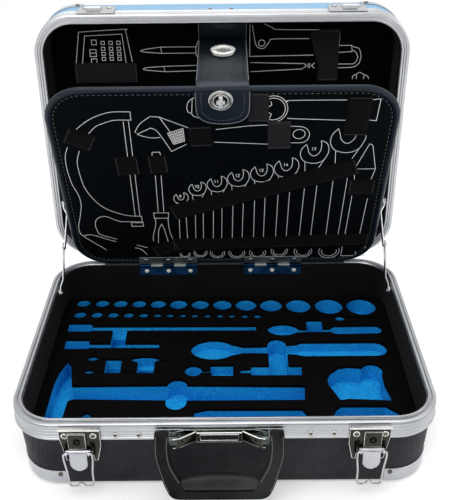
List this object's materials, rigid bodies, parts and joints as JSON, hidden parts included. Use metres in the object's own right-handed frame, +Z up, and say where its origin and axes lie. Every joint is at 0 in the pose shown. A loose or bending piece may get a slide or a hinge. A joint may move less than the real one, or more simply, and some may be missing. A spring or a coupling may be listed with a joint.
{
  "type": "hard tool case",
  "caption": "Open aluminium-framed hard tool case with cut foam tray, hinged tool board on a strap, folding lid stays, draw latches and swing handle",
  "frame": {"origin": "on the underside, at the middle of the footprint", "axes": "X to the right across the case, Y from the handle side to the hinge side, Z up; metres"},
  "size_m": [0.4644, 0.4399, 0.4345],
  "materials": {
    "abs_black": "textured vacuum-formed ABS",
    "abs_blue": "textured vacuum-formed ABS",
    "frame_alu": "satin anodised extrusion",
    "sheet_alu": "pressed sheet",
    "plated": "bright plated steel",
    "satin": "satin plated steel",
    "steel": "zinc plated steel",
    "lining": "black felt lining",
    "foam_dark": "closed-cell foam skin",
    "foam_blue": "closed-cell foam",
    "board": "smooth leatherette over board",
    "webbing": "woven elastic",
    "leatherette": "smooth leatherette",
    "grip_black": "moulded",
    "grip_soft": "soft moulded grip"
  },
  "bodies": {
    "base": {"base_shell": "abs_black", "base_frame": "frame_alu", "base_lining": "lining", "rear_lining": "lining", "foam_base": "foam_blue", "foam_wells": "foam_blue", "foam_small": "foam_blue", "foam_tools": "foam_blue", "foam_front": "foam_blue", "foam_top": "foam_dark", "base_guards": "sheet_alu", "base_guard_rivets": "steel", "front_rivets": "steel", "mount_plate": "plated", "handle_bracket": "plated", "handle_pins": "steel", "latch_plates": "plated", "latch_rivets": "plated", "latch_pins": "steel", "case_leaves_base": "steel", "case_pins": "steel", "hinge_cover": "leatherette", "butt_leaves_wall": "plated", "butt_screws_wall": "steel", "butt_pins": "plated", "stay_brackets": "steel"},
    "handle": {"handle": "grip_black", "handle_grip": "grip_soft"},
    "lock_l": {"lock_l": "plated"},
    "lock_r": {"lock_r": "plated"},
    "lever_l": {"lever_l": "satin"},
    "lever_r": {"lever_r": "satin"},
    "bail_l": {"bail_l": "plated"},
    "bail_r": {"bail_r": "plated"},
    "lid": {"lid_shell": "abs_blue", "lid_frame": "frame_alu", "lid_lining": "lining", "lid_backing": "foam_dark", "back_board": "board", "back_bands": "webbing", "lid_guards": "sheet_alu", "lid_guard_rivets": "steel", "catches": "plated", "catch_rivets": "plated", "strap_rivets": "steel", "case_leaves_lid": "steel", "stay_pins_lid": "steel"},
    "strap": {"lid_strap": "leatherette", "strap_eyelets": "plated"},
    "board": {"butt_leaves_board": "plated", "butt_screws_board": "steel", "front_board": "board", "board_binding": "leatherette", "board_bands": "webbing", "turn_plate": "plated"},
    "knob": {"turn_knob": "plated"},
    "stay_low_l": {"stay_low_l": "steel"},
    "stay_low_r": {"stay_low_r": "steel"},
    "stay_up_l": {"stay_up_l": "steel"},
    "stay_up_r": {"stay_up_r": "steel"}
  },
  "joints": [
    {"name": "lid_hinge", "type": "hinge", "parent": "base", "child": "lid", "pos_m": [0, 0.17, 0.092], "axis": [-1, 0, 0], "range_deg": [-91, 0], "deforming": ["lid_strap", "strap_eyelets", "hinge_cover"]},
    {"name": "board_carry", "type": "hinge", "parent": "base", "child": "strap", "pos_m": [0, 0.15, 0.0915], "axis": [-1, 0, 0], "range_deg": [-71.05, 0]},
    {"name": "board_fold", "type": "hinge", "parent": "strap", "child": "board", "pos_m": [0, 0.15, 0.0915], "axis": [1, 0, 0], "range_deg": [0, 71]},
    {"name": "turn_lock", "type": "hinge", "parent": "board", "child": "knob", "pos_m": [-0.0016, 0.0564, 0.36334], "axis": [0, -0.9455, -0.3256], "range_deg": [0, 90]},
    {"name": "handle_swing", "type": "hinge", "parent": "base", "child": "handle", "pos_m": [-0.0056, -0.1765, 0.0805], "axis": [-1, 0, 0], "range_deg": [0, 80]},
    {"name": "lever_swing_l", "type": "hinge", "parent": "base", "child": "lever_l", "pos_m": [-0.1542, -0.171, 0.06], "axis": [1, 0, 0], "range_deg": [-75, 0]},
    {"name": "lever_swing_r", "type": "hinge", "parent": "base", "child": "lever_r", "pos_m": [0.1542, -0.171, 0.06], "axis": [1, 0, 0], "range_deg": [-75, 0]},
    {"name": "bail_swing_l", "type": "hinge", "parent": "lever_l", "child": "bail_l", "pos_m": [-0.1542, -0.1756, 0.0614], "axis": [-1, 0, 0], "range_deg": [0, 172]},
    {"name": "bail_swing_r", "type": "hinge", "parent": "lever_r", "child": "bail_r", "pos_m": [0.1542, -0.1756, 0.0614], "axis": [-1, 0, 0], "range_deg": [0, 172]},
    {"name": "lock_turn_l", "type": "hinge", "parent": "base", "child": "lock_l", "pos_m": [-0.1546, -0.17, 0.0735], "axis": [0, -1, 0], "range_deg": [0, 90]},
    {"name": "lock_turn_r", "type": "hinge", "parent": "base", "child": "lock_r", "pos_m": [0.1546, -0.17, 0.0735], "axis": [0, -1, 0], "range_deg": [0, 90]},
    {"name": "stay_low_swing_l", "type": "hinge", "parent": "base", "child": "stay_low_l", "pos_m": [-0.213, 0.094, 0.0846], "axis": [-1, 0, 0], "range_deg": [-144.05, 0]},
    {"name": "stay_up_swing_l", "type": "hinge", "parent": "lid", "child": "stay_up_l", "pos_m": [-0.213, 0.17745, 0.17488], "axis": [-1, 0, 0], "range_deg": [0, 94.39]},
    {"name": "stay_low_swing_r", "type": "hinge", "parent": "base", "child": "stay_low_r", "pos_m": [0.213, 0.094, 0.0846], "axis": [-1, 0, 0], "range_deg": [-144.05, 0]},
    {"name": "stay_up_swing_r", "type": "hinge", "parent": "lid", "child": "stay_up_r", "pos_m": [0.213, 0.17745, 0.17488], "axis": [-1, 0, 0], "range_deg": [0, 94.39]}
  ],
  "couplings": [
    {"joint": "board_carry", "follows": "lid_hinge", "ratio": 0.78022},
    {"joint": "stay_low_swing_l", "follows": "lid_hinge", "ratio": 1.5824},
    {"joint": "stay_up_swing_l", "follows": "lid_hinge", "ratio": -1.0367},
    {"joint": "stay_low_swing_r", "follows": "lid_hinge", "ratio": 1.5824},
    {"joint": "stay_up_swing_r", "follows": "lid_hinge", "ratio": -1.0367}
  ]
}
